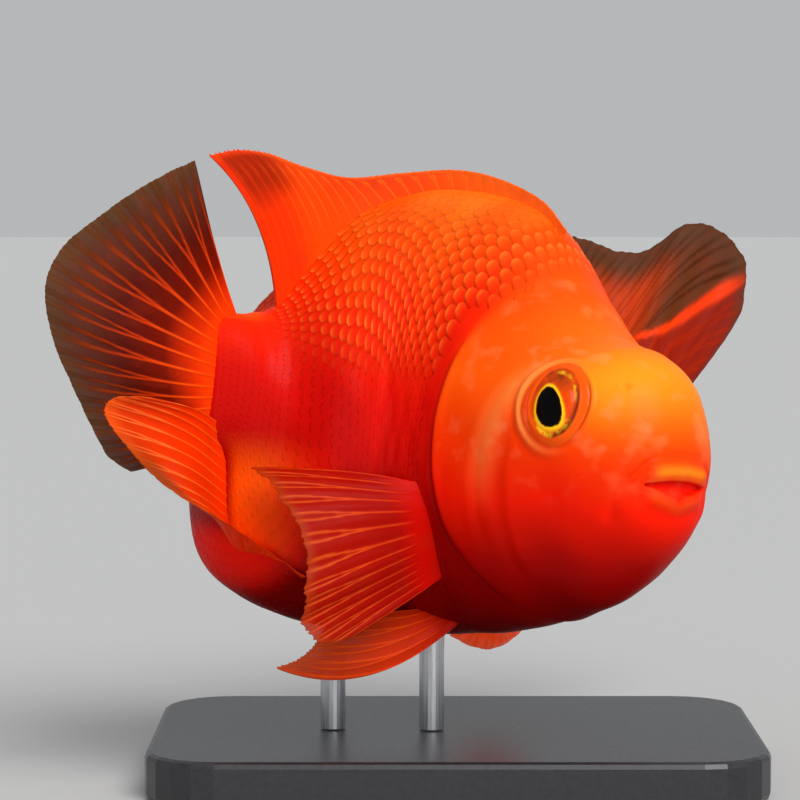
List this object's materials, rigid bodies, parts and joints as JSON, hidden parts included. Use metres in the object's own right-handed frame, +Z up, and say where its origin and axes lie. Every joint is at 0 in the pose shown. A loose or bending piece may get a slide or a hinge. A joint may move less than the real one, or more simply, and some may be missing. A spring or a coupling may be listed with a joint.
{
  "type": "blood parrot cichlid model",
  "caption": "Life-size still model of a deep-bodied orange-red aquarium fish in a tight turn, with spread fins, on a flat display base with short rods.",
  "frame": {"origin": "middle of the stand base's underside", "axes": "+Z up; +X along the chord of the bend, from the tail towards the head; +Y away from the side the fish bends round"},
  "size_m": [0.141, 0.1045, 0.1239],
  "materials": {
    "head": "moist scaled skin",
    "trunk": "moist scaled skin",
    "tail": "moist scaled skin",
    "gill_cover_right": "moist scaled skin",
    "gill_cover_left": "moist scaled skin",
    "eye_right": "glossy eye",
    "eye_left": "glossy eye",
    "dorsal_fin_front": "moist translucent fin",
    "dorsal_fin_rear": "moist translucent fin",
    "caudal_fin": "moist translucent fin",
    "anal_fin": "moist translucent fin",
    "pectoral_fin_right": "moist translucent fin",
    "pectoral_fin_left": "moist translucent fin",
    "pelvic_fin_right": "moist translucent fin",
    "pelvic_fin_left": "moist translucent fin",
    "stand_base": "satin black",
    "stand_rod": "brushed"
  },
  "bodies": {
    "root": {"head": "head", "trunk": "trunk", "tail": "tail", "gill_cover_right": "gill_cover_right", "gill_cover_left": "gill_cover_left", "eye_right": "eye_right", "eye_left": "eye_left", "dorsal_fin_front": "dorsal_fin_front", "dorsal_fin_rear": "dorsal_fin_rear", "caudal_fin": "caudal_fin", "anal_fin": "anal_fin", "pectoral_fin_right": "pectoral_fin_right", "pectoral_fin_left": "pectoral_fin_left", "pelvic_fin_right": "pelvic_fin_right", "pelvic_fin_left": "pelvic_fin_left", "stand_base": "stand_base", "stand_rod_front": "stand_rod", "stand_rod_rear": "stand_rod"}
  },
  "joints": []
}
